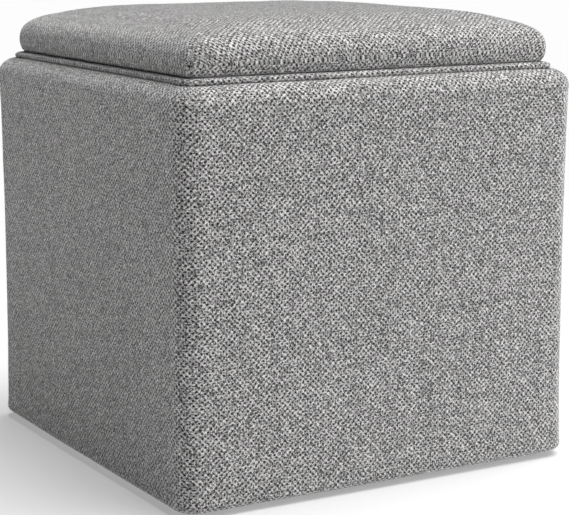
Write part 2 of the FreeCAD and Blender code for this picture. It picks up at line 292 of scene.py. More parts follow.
def tweed():
    """Coarse plain weave of pale slubby yarns, with a gap at every other crossing; the gaps and cell
    edges carry painted shade.
    """
    n = Nodes("tweed")
    cloth = n.uv("cloth")
    wander = n.noise(cloth, 120.0, 2.0, output="Color")
    wander = n.scaled(n.vector("SUBTRACT", wander, (0.5, 0.5, 0.5)), YARN_WANDER)
    cell = n.scaled(n.vector("ADD", cloth, wander), 1 / WEAVE_PITCH)
    x, y, _ = n.split(cell)
    ix, iy = n.math("FLOOR", x), n.math("FLOOR", y)
    from_middle = [n.minus(n.math("FRACT", c), 0.5) for c in (x, y)]
    warp_up = n.math("PINGPONG", n.plus(ix, iy), 1.0)
    size, aside, ahead = (n.minus(n.chance(n.join(ix, iy, salt)), 0.5) for salt in (0.5, 9.5, 19.5))

    away, edges = 0.0, 0.0
    for offset, stray, reach, wide in zip(from_middle, (aside, ahead), GAP_STRAY, GAP_SIZE):
        part = n.math("DIVIDE", n.plus(offset, n.times(stray, reach)), wide)
        away = n.plus(away, n.times(part, part))
        edge = n.math("POWER", n.times(n.math("ABSOLUTE", offset), 2.0), 4.0)
        edges = n.plus(edges, edge)
    depth = n.plus(GAP_DEPTH, n.times(size, GAP_DEPTH_SPREAD))
    gap = n.times(n.math("EXPONENT", n.times(away, -1.0)), depth)
    gap = n.times(gap, n.minus(1.0, warp_up))
    height = n.minus(1.0, n.plus(gap, n.times(edges, CELL_EDGE)))
    # the weave's height, used both as bump and as a level of painted shade in the base colour
    lit = n.math("MAXIMUM", height, 0.0)

    yarn = n.mix(warp_up, n.chance(n.join(iy, 7.5, 2.5)), n.chance(n.join(ix, 3.5, 1.5)))
    tone = n.plus(TONE, n.times(aside, CELL_TONE))
    for shade, amount in ((yarn, YARN_TONE), (n.noise(cell, 1.9, 1.0), FIBRE_TONE),
                          (n.flakes(cell, 2.6), FLECK_TONE)):
        tone = n.plus(tone, n.times(n.minus(shade, 0.5), amount))
    colour = n.ramp(tone, [(place, (value * 1.018, value, value * 0.995, 1.0))
                           for place, value in TWEED_SHADES])
    # painted shade: the colour is multiplied by the weave's height, so it is darker in the gaps and at
    # the cell edges
    n.set(Base_Color=n.shaded(colour, lit), Roughness=0.92, Sheen_Weight=0.5, Sheen_Roughness=0.5,
          Specular_IOR_Level=0.12)
    fuzz = n.noise(cloth, 2600.0, 3.0)
    n.bump(n.plus(lit, n.times(fuzz, 0.25)), 0.0008)
    return n.material


def lining_cloth(name, value, pitch, gloss):
    """Thin close-woven lining."""
    n = Nodes(name)
    cloth = n.uv("cloth")
    x, y, _ = n.split(n.scaled(cloth, math.pi / pitch))
    weave = n.times(n.math("ABSOLUTE", n.math("SINE", x)), n.math("ABSOLUTE", n.math("SINE", y)))
    patch = n.noise(cloth, 18.0, 4.0)
    tone = n.plus(n.times(weave, 0.35), n.times(patch, 0.5))
    n.set(Base_Color=n.ramp(tone, [(0.1, grey(value * 0.55)), (0.8, grey(value * 1.6))]),
          Roughness=gloss, Sheen_Weight=0.1, Specular_IOR_Level=0.25)
    n.bump(n.plus(weave, patch), 0.00025)
    return n.material


def bonded_cloth():
    """Black spun-bonded cloth with its grid of small pressed dots and stray fibres."""
    n = Nodes("bonded_cloth")
    cloth = n.uv("cloth")
    x, y, _ = n.split(n.scaled(cloth, math.pi / 0.0022))
    dot = n.times(n.math("SINE", x), n.math("SINE", y))
    pressed = n.math("GREATER_THAN", dot, 0.72)
    strands = n.noise(n.vector("MULTIPLY", cloth, (1.0, 3.5, 1.0)), 900.0, 4.0, 0.7)
    tone = n.minus(strands, n.times(pressed, 0.22))
    n.set(Base_Color=n.ramp(tone, [(0.25, grey(0.008)), (0.75, grey(0.055))]), Roughness=0.72,
          Specular_IOR_Level=0.3)
    n.bump(tone, 0.00030)
    return n.material


def foam_block():
    """Cream open-cell foam."""
    n = Nodes("foam_block")
    cell = n.noise(n.place(), 900.0, 3.0, 0.6)
    patch = n.noise(n.place(), 25.0, 3.0)
    tone = n.plus(n.times(cell, 0.6), n.times(patch, 0.4))
    n.set(Base_Color=n.ramp(tone, [(0.3, (0.55, 0.47, 0.28, 1)), (0.7, (0.84, 0.78, 0.56, 1))]),
          Roughness=0.95, Specular_IOR_Level=0.1)
    n.bump(cell, 0.0006)
    return n.material


def fluff():
    """White polyester wadding."""
    n = Nodes("fluff")
    strands = n.noise(n.vector("MULTIPLY", n.place(), (1.0, 4.0, 2.0)), 260.0, 5.0, 0.7)
    n.set(Base_Color=n.ramp(strands, [(0.3, grey(0.62)), (0.7, grey(0.88))]), Roughness=1.0,
          Sheen_Weight=0.4, Specular_IOR_Level=0.05)
    n.bump(strands, 0.0012)
    return n.material


def cord_fibre():
    """Twisted cotton cord."""
    n = Nodes("cord_fibre")
    twist = n.math("ABSOLUTE", n.math("SINE", n.times(n.split(n.place())[2], 2200.0)))
    strands = n.noise(n.place(), 700.0, 4.0)
    tone = n.plus(n.times(twist, 0.3), n.times(strands, 0.7))
    n.set(Base_Color=n.ramp(tone, [(0.3, (0.50, 0.44, 0.34, 1)), (0.8, (0.80, 0.75, 0.64, 1))]),
          Roughness=0.9)
    n.bump(tone, 0.0005)
    return n.material


def timber(name, grain_axis, dark, light, gloss):
    """Sawn or veneered wood with its grain along one axis."""
    n = Nodes(name)
    squeeze = [1.0, 1.0, 1.0]
    squeeze[grain_axis] = 0.06
    run = n.vector("MULTIPLY", n.place(), tuple(squeeze))
    rings = n.noise(run, 26.0, 3.0, 0.55)
    lines = n.math("FRACT", n.times(rings, 7.0))
    pores = n.noise(run, 900.0, 3.0, 0.7)
    broad = n.noise(n.place(), 6.0, 2.0)
    tone = n.plus(n.times(lines, 0.40), n.times(pores, 0.45))
    tone = n.plus(tone, n.times(broad, 0.25))
    n.set(Base_Color=n.ramp(tone, [(0.2, dark), (0.85, light)]), Roughness=gloss,
          Specular_IOR_Level=0.35)
    n.bump(n.plus(pores, n.times(lines, 0.3)), 0.00012)
    return n.material


def chipboard():
    """Pressed board: pale and dark flakes."""
    n = Nodes("chipboard")
    flakes = n.flakes(n.vector("MULTIPLY", n.place(), (1.0, 0.6, 1.4)), 420.0)
    dust = n.noise(n.place(), 1500.0, 3.0)
    tone = n.plus(n.times(flakes, 0.7), n.times(dust, 0.3))
    n.set(Base_Color=n.ramp(tone, [(0.1, (0.30, 0.19, 0.10, 1)), (0.9, (0.68, 0.51, 0.32, 1))]),
          Roughness=0.8, Specular_IOR_Level=0.2)
    n.bump(tone, 0.0002)
    return n.material


def metal(name, value, warmth, roughness):
    """Plated or drawn steel with fine scratches."""
    n = Nodes(name)
    scratch = n.noise(n.vector("MULTIPLY", n.place(), (1.0, 1.0, 8.0)), 1500.0, 4.0, 0.7)
    rough = n.plus(roughness - 0.08, n.times(scratch, 0.16))
    n.set(Base_Color=n.ramp(scratch, [(0.3, grey(value * 0.8, warmth)), (0.7, grey(value, warmth))]),
          Metallic=1.0, Roughness=rough)
    n.bump(scratch, 0.00004)
    return n.material


def moulded_plastic():
    """Black nylon with a fine spark-eroded grain."""
    n = Nodes("moulded_plastic")
    grain = n.noise(n.place(), 1800.0, 3.0, 0.6)
    wear = n.noise(n.place(), 90.0, 3.0)
    n.set(Base_Color=n.ramp(wear, [(0.35, grey(0.014)), (0.7, grey(0.034))]),
          Roughness=n.plus(0.38, n.times(grain, 0.2)), Specular_IOR_Level=0.5)
    n.bump(grain, 0.00012)
    return n.material


# ---- mesh building ---------------------------------------------------------
def ring(half, corner_r, bulge, side_steps, corner_steps):
    """A level rounded square, counter-clockwise from the middle of the rear-right corner."""
    corner_r = min(corner_r, half)
    straight = half - corner_r
    t = np.linspace(-1, 1, side_steps + 1)
    side = np.c_[half + bulge * (1 - t ** 2), t * straight]
    a = math.pi / 4 * (1 - (1 - np.linspace(0, 1, corner_steps + 1)) ** 1.5)[1:]
    bend = np.c_[straight + corner_r * np.cos(a), straight + corner_r * np.sin(a)]
    start = (bend * (1, -1))[::-1]
    quarter = np.vstack([start, side, bend[:-1]])
    return np.vstack([turned(quarter, math.pi / 2 * k) for k in (1, 2, 3, 4)])


def turned(points, angle):
    """Plan points turned about the origin."""
    c, s = math.cos(angle), math.sin(angle)
    return np.c_[c * points[:, 0] - s * points[:, 1], s * points[:, 0] + c * points[:, 1]]


def run_length(points):
    """Distance along a line of points, from its first."""
    steps = np.linalg.norm(np.diff(points, axis=0), axis=1)
    return np.r_[0.0, np.cumsum(steps)]


def make_piece(name, verts, faces, uvs, material):
    """A mesh object with cloth UVs given corner by corner, in metres."""
    mesh = bpy.data.meshes.new(name)
    mesh.from_pydata([tuple(v) for v in verts], [], [tuple(f) for f in faces])
    if uvs is not None:
        layer = mesh.uv_layers.new(name="cloth")
        layer.data.foreach_set("uv", np.asarray(uvs, dtype=float).ravel())
    mesh.polygons.foreach_set("use_smooth", [True] * len(mesh.polygons))
    mesh.materials.append(material)
    mesh.validate()
    mesh.update()
    piece = bpy.data.objects.new(name, mesh)
    bpy.context.collection.objects.link(piece)
    return piece


def share_between(value, start, end):
    """0 up to the start, 1 from the end on, and evenly rising between them."""
    return min(max((value - start) / (end - start), 0.0), 1.0)


def open_edges(faces):
    """The edges that only one face has, in that face's direction."""
    edges = {(a, b): True for f in faces for a, b in zip(f, f[1:] + f[:1])}
    return [(a, b) for a, b in edges if (b, a) not in edges]


def normals_of(piece):
    """Places and outward normals of a piece's vertices."""
    piece.data.update()
    places = np.array([tuple(v.co) for v in piece.data.vertices])
    normals = np.array([tuple(v.normal) for v in piece.data.vertices])
    return places, normals


def skin(section, guide, steps, first=0):
    """Vertices, faces and UVs of a closed section of (half, corner_r, bulge, z) rows carried
    round a rounded square. UVs run along the guide ring and round the section."""
    rings = [ring(h, r, b, *steps) for h, r, b, _ in section]
    cols, rows = len(rings[0]), len(section)
    verts = np.vstack([np.c_[xy, np.full(cols, row[3])] for xy, row in zip(rings, section)])
    u = run_length(np.vstack([guide, guide[:1]]))
    v = run_length(np.array([(row[0], row[3]) for row in section + section[:1]]))
    faces, uvs = [], []
    for i in range(rows):
        here, below = first + i * cols, first + (i + 1) % rows * cols
        for j in range(cols):
            right = (j + 1) % cols
            faces.append((here + j, below + j, below + right, here + right))
            uvs += [(u[j], v[i]), (u[j], v[i + 1]), (u[j + 1], v[i + 1]), (u[j + 1], v[i])]
    return verts, faces, uvs


def swept(name, section, half, corner_r, material, steps=(52, 8), bore=()):
    """A closed section carried round a rounded square, and hollow if it has a bore.

    The UVs run along the ring of the half width and corner radius given. The steps are those
    of a side and of half a corner.
    """
    guide = ring(half, corner_r, 0.0, *steps)
    verts, faces, uvs = skin(section, guide, steps)
    if bore:
        inside = skin(bore, guide, steps, len(verts))
        verts = np.vstack([verts, inside[0]])
        faces, uvs = faces + inside[1], uvs + inside[2]
    return make_piece(name, verts, faces, uvs, material)


def arc(centre_h, centre_z, radius, start, end, steps):
    """Section points along a round stretch, angles in degrees from outward."""
    angles = np.radians(np.linspace(start, end, steps))
    return [(centre_h + radius * math.cos(a), centre_z + radius * math.sin(a)) for a in angles]


def thickened(line, thickness):
    """A closed section: the line, and the same line set back to its right by the thickness."""
    points = np.array(line)
    along = np.gradient(points, axis=0)
    along /= np.linalg.norm(along, axis=1)[:, None]
    normal = np.c_[along[:, 1], -along[:, 0]]
    back = points + normal * thickness
    return np.vstack([points, back[::-1]])


# ---- box cover -------------------------------------------------------------
def wall_half(z):
    """Half width of the padded wall at a level: drawn in between its rim and its foot."""
    waist = HALF - SIDE_BULGE - RIM_FLARE
    rim = RIM_FLARE * math.exp(-(RIM_Z - z) / RIM_FADE)
    foot = FOOT_FLARE * math.exp(-(z - COVER_Z) / FOOT_FADE)
    return waist + rim + foot


def cover_row(h, z):
    """A section row whose corner tightens and whose sides straighten as it comes inwards."""
    inset = max(wall_half(min(max(z, COVER_Z), RIM_Z)) - h, 0.0)
    corner = max(BOX_CORNER_R - CORNER_TIGHTENING * inset, LEAST_CORNER_R)
    return h, corner, SIDE_BULGE * max(0.0, 1 - inset / BULGE_REACH), z


def cover_line():
    """The cover's outer line, from its inner end over the rim, down the wall and under the base."""
    top, foot = wall_half(RIM_Z), wall_half(COVER_Z)
    inner = [(MOUTH_HALF, z) for z in np.linspace(RIM_Z - TURN_IN, RIM_Z - RIM_INNER_R, 9)]
    line = inner[:-1]
    line += arc(MOUTH_HALF + RIM_INNER_R, RIM_Z - RIM_INNER_R, RIM_INNER_R, 180, 90, 7)
    line += arc(top - RIM_R, RIM_Z - RIM_R, RIM_R, 90, 0, 14)
    levels = np.linspace(RIM_Z - RIM_R, COVER_Z + FOOT_R, 60)[1:-1]
    line += [(wall_half(z), z) for z in levels]
    line += arc(foot - FOOT_R, COVER_Z + FOOT_R, FOOT_R, 0, -90, 9)
    line += [(h, COVER_Z) for h in np.linspace(foot - FOOT_R, HALF - TURN_UNDER, 8)[1:]]
    return line


def box_cover(material):
    """The sewn cover of the box, as cloth with a thickness."""
    rows = [cover_row(h, z) for h, z in thickened(cover_line(), CLOTH_T)]
    piece = swept("box_cover", rows, HALF, BOX_CORNER_R, material, (52, 12))
    ruffle(piece, *WALL_RUFFLE, cols=len(piece.data.vertices) // len(rows))
    sunken_corners(piece)
    for v in piece.data.vertices:
        if v.co.x > 0 and v.co.y > 0:
            sink = seam_sink((v.co.x - v.co.y) / math.sqrt(2), BOX_SEAM)
            v.co.x -= sink / math.sqrt(2)
            v.co.y -= sink / math.sqrt(2)
    return piece


def seam_sink(away, depth):
    """How far a sewn seam draws the cloth in, at a distance to either side of it."""
    puffed = SEAM_PUFF * depth * math.exp(-((abs(away) - PUFF_AT) / PUFF_WIDE) ** 2)
    return depth * math.exp(-(away / SEAM_WIDE) ** 2) - puffed


def ruffle(piece, amount, size, cols=0, still=None):
    """Uneven padding: the surface moves a little along its normals.

    With cols, the rows of a swept cloth go in pairs, the first with the last, and the inner
    row of a pair moves as its outer one does. Nothing moves at or below the level still.
    """
    places, normals = normals_of(piece)
    lift = []
    for p in places:
        spot = Vector(p) / size
        fine = noise.noise(spot * FINE_SCALE + Vector((7, 3, 5)))
        lift.append(noise.noise(spot) + FINE_SHARE * fine)
    move = normals * np.array(lift)[:, None] * amount
    if still is not None:
        move *= np.clip((places[:, 2:] - still) / STILL_FADE, 0, 1)
    if cols:
        rows = move.reshape(-1, cols, 3)
        rows[len(rows) // 2:] = rows[:len(rows) // 2][::-1]
    piece.data.vertices.foreach_set("co", (places + move).ravel())
    piece.data.update()


def sunken_corners(piece):
    """The rim's padding gives at its corners, and what lies on it sinks there too."""
    for v in piece.data.vertices:
        near = math.hypot(abs(v.co.x) - CORNER_AT, abs(v.co.y) - CORNER_AT) / CORNER_REACH
        high = share_between(v.co.z, *(RIM_Z - down for down in SINK_LEVELS))
        reach = max(abs(v.co.x), abs(v.co.y))
        out = share_between(reach, *(PIPING_HALF - inwards for inwards in SINK_INSETS))
        v.co.z -= CORNER_SINK * math.exp(-near * near) * high * out
    piece.data.update()


# ---- padding of the box ----------------------------------------------------
def side_strip(name, section, quarter, material):
    """A closed section carried along one side, from mitre to mitre."""
    steps = 60
    shares = np.linspace(-1, 1, steps)
    rows = []
    for h, r, b, z in section:
        plan = np.array([ring_point(h, r, b, share) for share in shares])
        rows.append(np.c_[turned(plan, quarter * math.pi / 2), np.full(steps, z)])
    count = len(section)
    faces = []
    for i in range(count):
        below = (i + 1) % count
        for j in range(steps - 1):
            here, under = i * steps + j, below * steps + j
            faces.append((here, under, under + 1, here + 1))
    faces.append([i * steps for i in range(count)][::-1])
    faces.append([i * steps + steps - 1 for i in range(count)])
    return make_piece(name, np.vstack(rows), faces, None, material)


def wall_padding(name, quarter, material):
    """Foam between a wall board and the cover, pressed thinner at the waist."""
    foot = wall_half(COVER_Z)
    line = [(wall_half(z) - PADDING_INSET, z) for z in np.linspace(WOOD_TOP, COVER_Z + FOOT_R, 40)]
    line += arc(foot - FOOT_R, COVER_Z + FOOT_R, FOOT_R - PADDING_INSET, 0, -75, 6)[1:]
    rows = [cover_row(h, max(z, WOOD_BOTTOM + GAP)) for h, z in line]
    back = [(WOOD_HALF + GAP, BOARD_CORNER_R, 0.0, z)
            for z in np.linspace(WOOD_BOTTOM + GAP, WOOD_TOP, 12)]
    return side_strip(name, rows + back, quarter, material)


def rim_padding(name, quarter, material):
    """Foam strip that rolls over the top edge of a board."""
    inner_r, outer_r = RIM_INNER_R - PADDING_INSET, RIM_R - PADDING_INSET
    line = [(ROOM_HALF, WOOD_TOP + GAP)]
    line += arc(MOUTH_HALF + RIM_INNER_R, RIM_Z - RIM_INNER_R, inner_r, 180, 90, 5)
    line += arc(wall_half(RIM_Z) - RIM_R, RIM_Z - RIM_R, outer_r, 90, 20, 12)
    line += [(wall_half(WOOD_TOP) - PADDING_INSET, WOOD_TOP + GAP)]
    piece = side_strip(name, [cover_row(h, z) for h, z in line], quarter, material)
    sunken_corners(piece)
    return piece


# ---- piping ----------------------------------------------------------------
PIPING_HALF = 0.1986         # to the middle of the piping
PIPING_WIDE, PIPING_HIGH = 0.0052, 0.0029
PIPING_CORNER_R = 0.0092
PIPING_MIDDLE = RIM_Z + PIPING_HIGH
PIPING_T = 0.0007            # its fabric, drawn tight
PRESSED = 0.25               # below 1: the tube's underside is squarer than an oval
LEAST_PIPING_CORNER_R = 0.0012
FLANGE_OUT, FLANGE_IN, FLANGE_T = PIPING_HALF - 0.0060, 0.172, 0.0014
JOIN_PLACE, JOIN_SLANT = 0.0095, 0.55   # from the front-left corner, along the left side
JOIN_DENT, DENT_WIDE = 0.0009, 0.0009
JOIN_SWELL, SWELL_WIDE, SWELL_AT = 0.0006, 0.0012, 0.0022


def tube_points(wide, high, start, end, step):
    """An oval about the middle of the piping, with its underside pressed squarer."""
    points = []
    for degrees in range(start, end, step):
        across, up = math.cos(math.radians(degrees)), math.sin(math.radians(degrees))
        if up < 0:
            across = math.copysign(abs(across) ** PRESSED, across)
        points.append((PIPING_HALF + wide * across, PIPING_MIDDLE + high * up))
    return points


def piping_rows(points):
    """Section rows whose corner radius keeps them level with the piping's own corner."""
    return [(h, max(PIPING_CORNER_R + h - PIPING_HALF, LEAST_PIPING_CORNER_R), 0.0, z)
            for h, z in points]


def piping_section():
    """Fabric tube and, going in from its top, the flange that is stapled to the board."""
    tube = tube_points(PIPING_WIDE, PIPING_HIGH, -235, 86, 16)
    top, under = LID_FOOT_Z - GAP, LID_FOOT_Z - FLANGE_T + GAP
    tube.append((PIPING_HALF - 0.0035, PIPING_MIDDLE + PIPING_HIGH + 0.0001))
    flange = [(h, top) for h in np.linspace(FLANGE_OUT, FLANGE_IN, 5)]
    back = [(h, under) for h in np.linspace(FLANGE_IN, FLANGE_OUT - 0.0005, 5)]
    return piping_rows(tube + flange + back)[::-1]


def piping(material):
    """The piping, with the bias strip's diagonal join near the front-left corner."""
    bore = piping_rows(tube_points(PIPING_WIDE - PIPING_T, PIPING_HIGH - PIPING_T, 0, 360, 24))
    piece = swept("lid_piping", piping_section(), PIPING_HALF, PIPING_CORNER_R, material, (96, 8), bore)
    join_y = -PIPING_HALF + PIPING_CORNER_R + JOIN_PLACE
    for v in piece.data.vertices:
        slant = v.co.y - join_y - (v.co.z - PIPING_MIDDLE) * JOIN_SLANT
        if v.co.x < -(PIPING_HALF - 0.001) and abs(slant) < 0.004:
            dent = math.exp(-(slant / DENT_WIDE) ** 2)
            swell = math.exp(-((slant - SWELL_AT) / SWELL_WIDE) ** 2)
            v.co.x -= JOIN_SWELL * swell - JOIN_DENT * dent
    ruffle(piece, *PIPING_RUFFLE)
    sunken_corners(piece)
    return piece


def piping_cord(material):
    """The soft cord inside the piping, pressed oval."""
    wide, high = PIPING_WIDE - PIPING_T - GAP, PIPING_HIGH - PIPING_T - GAP
    rows = piping_rows(tube_points(wide, high, 0, 360, 24))[::-1]
    piece = swept("piping_core", rows, PIPING_HALF, PIPING_CORNER_R, material)
    sunken_corners(piece)
    return piece


# ---- linings and dust cloth ------------------------------------------------
LINING_T = 0.0009
LINING_CORNER_R = 0.003
HEM_DEEP = 0.012
# the folded hem, as (inwards from the mouth, down from the top edge)
HEM_FOLD = ((0.0, HEM_DEEP - 0.001), (0.0, 0.001), (0.0006, 0.0001), (0.0016, 0.0003),
            (0.0021, 0.0014), (0.0021, 0.0040), (0.0019, 0.0062), (0.0021, 0.0085),
            (0.0020, HEM_DEEP - 0.0010), (0.0011, HEM_DEEP + 0.0006))


def hemmed_lining(material):
    """The wall lining: a tube of cloth that laps over the turned-in cover with a folded hem."""
    step_z = RIM_Z - TURN_IN
    lower, upper = ROOM_HALF - GAP, MOUTH_HALF - GAP
    top = lining_high.z
    line = [(lower, z) for z in np.linspace(FLOOR_Z + LINING_T + GAP, step_z - 0.004, 28)]
    # a small step from the boards onto the turned-in cover
    line += [(lower - 0.0007, step_z - 0.0015), (upper - 0.0002, step_z + 0.0010)]
    line += [(upper, z) for z in np.linspace(step_z + 0.003, top - HEM_DEEP, 4)]
    fold = [(upper - inwards, top - down) for inwards, down in HEM_FOLD]
    inner = [(h - LINING_T, z) for h, z in line[::-1]]
    section = [(h, LINING_CORNER_R, 0.0, z) for h, z in line + fold + inner]
    return swept("wall_lining_cloth", section[::-1], ROOM_HALF, LINING_CORNER_R, material, (52, 4))


def rounded_grid(half, corner_r, count):
    """A square grid of points, drawn in where the square's corners are rounded."""
    line = np.linspace(-half, half, count + 1)
    points = []
    for y in line:
        for x in line:
            past = [max(abs(c) - half + corner_r, 0) for c in (x, y)]
            if math.hypot(*past) > corner_r:
                cx, cy = (math.copysign(half - corner_r, c) for c in (x, y))
                away = math.hypot(x - cx, y - cy)
                x, y = cx + (x - cx) * corner_r / away, cy + (y - cy) * corner_r / away
            points.append([x, y])
    return np.array(points)


HOLE_DROP, HOLE_EDGE = 0.75, 1.35   # shares of a hole's radius


def opened(plan, keep, hole):
    """Drops the points inside a round hole and draws the next ones to its edge."""
    middle, radius = np.array(hole[:2]), hole[2]
    away = plan - middle
    far = np.linalg.norm(away, axis=1)
    keep &= far >= radius * HOLE_DROP
    edge = keep & (far < radius * HOLE_EDGE)
    plan[edge] = middle + away[edge] / far[edge][:, None] * radius


def sheet_mesh(name, half, corner_r, z_low, thickness, material, sag, holes=()):
    """A level square of cloth with rounded corners, and round holes with their edges bound."""
    count = 80
    plan = rounded_grid(half, corner_r, count)
    keep = np.ones(len(plan), bool)
    for hole in holes:
        opened(plan, keep, hole)
    side = count + 1
    quads = []
    for j in range(count):
        for i in range(count):
            quad = [j * side + i, j * side + i + 1, (j + 1) * side + i + 1, (j + 1) * side + i]
            if all(keep[k] for k in quad):
                quads.append(quad)
    used = sorted({k for quad in quads for k in quad})
    number = {k: i for i, k in enumerate(used)}
    quads = [[number[k] for k in quad] for quad in quads]
    plan = plan[used]
    low = np.array([z_low + sag(x, y) for x, y in plan])
    n = len(plan)
    verts = np.vstack([np.c_[plan, low], np.c_[plan, low + thickness]])
    faces = [q[::-1] for q in quads] + [[k + n for k in q] for q in quads]
    faces += [(a, b, b + n, a + n) for a, b in open_edges(quads)]
    uvs = [verts[k][:2] for f in faces for k in f]
    return make_piece(name, verts, faces, uvs, material)


# ---- cushion ---------------------------------------------------------------
RINGS = 32                   # level rings from the middle of the dome to its edge
# the upright side and the edge turned under: (inset, share of the side's bulge, level)
CUSHION_SIDE = ((0.0003, 0.95, CUSHION_SIDE_TOP - 0.0028),
                (0.0011, 0.85, CUSHION_SIDE_TOP - 0.0060),
                (0.0022, 0.72, LID_FOOT_Z + 0.0002),
                (0.0036, 0.50, LID_FOOT_Z - 0.0020),
                (0.0062, 0.25, LID_FOOT_Z - 0.0004),
                (0.0150, 0.00, LID_FOOT_Z))
SIDE_ROWS = len(CUSHION_SIDE)
CORNER_CROWDING = 0.78       # how much closer the grid lies to the corners
PRESSURE, FRAMES = 4.0, 20   # of the cloth simulation
CAP = 0.004                  # furthest that the filling may push a point of the cover
SEAM_FADE = (0.428, 0.437)   # heights over which a corner seam fades out
WADDING_T = 0.004


def dome_height(r):
    """Height of the dome where the level ring is r of its full size."""
    rise = DOME_TOP - CUSHION_SIDE_TOP
    return CUSHION_SIDE_TOP + rise * (1 - r ** DOME_FLATNESS) ** (1 / DOME_SHOULDER)


def even_radii():
    """Ring sizes that are evenly spaced along the dome's surface, and that distance."""
    fine = 1 - np.linspace(1, 0, 2000) ** 2.2
    line = np.c_[fine * CUSHION_HALF, [dome_height(r) for r in fine]]
    length = run_length(line)
    wanted = np.linspace(0, length[-1], RINGS + 1)
    return np.interp(wanted, length, fine), wanted


def ring_point(half, corner_r, bulge, share):
    """A point on the right side of a rounded square; share runs from -1 to 1, corner to corner."""
    corner_r = min(corner_r, half)
    straight = half - corner_r
    quarter = corner_r * math.pi / 4
    along = share * (straight + quarter)
    if abs(along) <= straight or corner_r == 0:
        return half + bulge * (1 - (along / max(straight, 1e-6)) ** 2), along
    angle = (abs(along) - straight) / corner_r
    aside = straight + corner_r * math.sin(angle)
    return straight + corner_r * math.cos(angle), math.copysign(aside, along)


def side_of(i, j):
    """(quarter turns from the right side, ring number, share along that side) of a grid place."""
    n = max(abs(i), abs(j))
    if n == 0:
        return 0, 0, 0.0
    if i == n and j < n:
        quarter, share = 0, j / n
    elif j == n and i > -n:
        quarter, share = 1, -i / n
    elif i == -n and j > -n:
        quarter, share = 2, -j / n
    else:
        quarter, share = 3, i / n
    crowd = CORNER_CROWDING * (n / RINGS) ** 2
    return quarter, n, share * (1 + crowd / 2 * (1 - share ** 2))


def edge_loop(n):
    """The grid places of ring n, counter-clockwise from the right side's front end."""
    loop = [(n, j) for j in range(-n, n)]
    loop += [(i, n) for i in range(n, -n, -1)]
    loop += [(-n, j) for j in range(n, -n, -1)]
    loop += [(i, -n) for i in range(-n, n)]
    return loop


def key_at(place, level):
    """The key of an edge place at a level down the side."""
    return place if level == 0 else (place[0], place[1], level)


def cushion_surface():
    """The cushion's outer skin: a square grid over the dome whose edge runs on down the sides."""
    radii, surface = even_radii()
    verts, index = [], {}

    def add(key, quarter, half, corner_r, bulge, share, z):
        x, y = ring_point(half, corner_r, bulge, share)
        point = turned(np.array([[x, y]]), quarter * math.pi / 2)[0]
        index[key] = len(verts)
        verts.append((point[0], point[1], z))

    for i in range(-RINGS, RINGS + 1):
        for j in range(-RINGS, RINGS + 1):
            quarter, n, share = side_of(i, j)
            r = radii[n]
            corner = CUSHION_CORNER_R + CUSHION_SOFTNESS * (1 - r)
            bulge = CUSHION_BULGE * r ** 4
            add((i, j), quarter, CUSHION_HALF * r, corner, bulge, share, dome_height(r))

    side = [(CUSHION_HALF - inset, swell, z) for inset, swell, z in CUSHION_SIDE]
    outline = run_length(np.array([(CUSHION_HALF, CUSHION_SIDE_TOP)] + [(h, z) for h, _, z in side]))
    depth = outline + surface[-1]
    loop = edge_loop(RINGS)
    for level, (half, swell, z) in enumerate(side, 1):
        for i, j in loop:
            quarter, _, share = side_of(i, j)
            add((i, j, level), quarter, half, CUSHION_CORNER_R, CUSHION_BULGE * swell, share, z)

    faces, uvs = [], []
    for i in range(-RINGS, RINGS):
        for j in range(-RINGS, RINGS):
            keys = [(i, j), (i + 1, j), (i + 1, j + 1), (i, j + 1)]
            faces.append([index[k] for k in keys])
            for key in keys:
                n = side_of(*key)[1]
                scale = surface[n] / (CUSHION_HALF * radii[n]) if n else 1.0
                uvs.append([c * scale for c in verts[index[key]][:2]])

    stretch = surface[-1] / CUSHION_HALF
    for level in range(SIDE_ROWS):
        for a, b in zip(loop, loop[1:] + loop[:1]):
            quarter = side_of(*a)[0]
            places = [(b, level), (a, level), (a, level + 1), (b, level + 1)]
            faces.append([index[key_at(*place)] for place in places])
            for place in places:
                x, y, _ = verts[index[key_at(*place)]]
                along = turned(np.array([[x, y]]), -quarter * math.pi / 2)[0][1] * stretch
                uvs.append(turned(np.array([[depth[place[1]], along]]), quarter * math.pi / 2)[0])
    return np.array(verts), faces, uvs, index, loop


def blown_up(piece, pinned):
    """Cloth simulation: pressure fills the cover, which is held round the board's edge.

    The foam under the cover keeps it from moving inwards, so only the outward part is kept.
    """
    group = piece.vertex_groups.new(name="hem")
    group.add([int(i) for i in pinned], 1.0, "REPLACE")
    start, normals = normals_of(piece)
    modifier = piece.modifiers.new("Cloth", "CLOTH")
    cloth = modifier.settings
    cloth.quality = 6
    cloth.mass = 1.8
    cloth.tension_stiffness = cloth.compression_stiffness = 60
    cloth.shear_stiffness = 20
    cloth.bending_stiffness = 4
    cloth.vertex_group_mass = "hem"
    cloth.use_pressure = True
    cloth.uniform_pressure_force = PRESSURE
    cloth.effector_weights.gravity = 0
    scene = bpy.context.scene
    scene.frame_start, scene.frame_end = 1, FRAMES
    modifier.point_cache.frame_start, modifier.point_cache.frame_end = 1, FRAMES
    for number in range(1, FRAMES + 1):
        scene.frame_set(number)
    view = piece.evaluated_get(bpy.context.evaluated_depsgraph_get())
    move = np.array([tuple(v.co) for v in view.data.vertices]) - start
    piece.modifiers.remove(modifier)
    scene.frame_set(1)
    outward = np.clip((move * normals).sum(axis=1), 0.0, None)[:, None]
    outward = CAP * np.tanh(outward / CAP)
    piece.data.vertices.foreach_set("co", (start + normals * outward).ravel())
    piece.data.update()


def refined(piece):
    """One round of subdivision, applied."""
    modifier = piece.modifiers.new("Subdivision", "SUBSURF")
    modifier.levels = modifier.render_levels = 1
    modifier.uv_smooth = "NONE"
    view = piece.evaluated_get(bpy.context.evaluated_depsgraph_get())
    mesh = bpy.data.meshes.new_from_object(view)
    old = piece.data
    piece.modifiers.remove(modifier)
    piece.data = mesh
    bpy.data.meshes.remove(old)


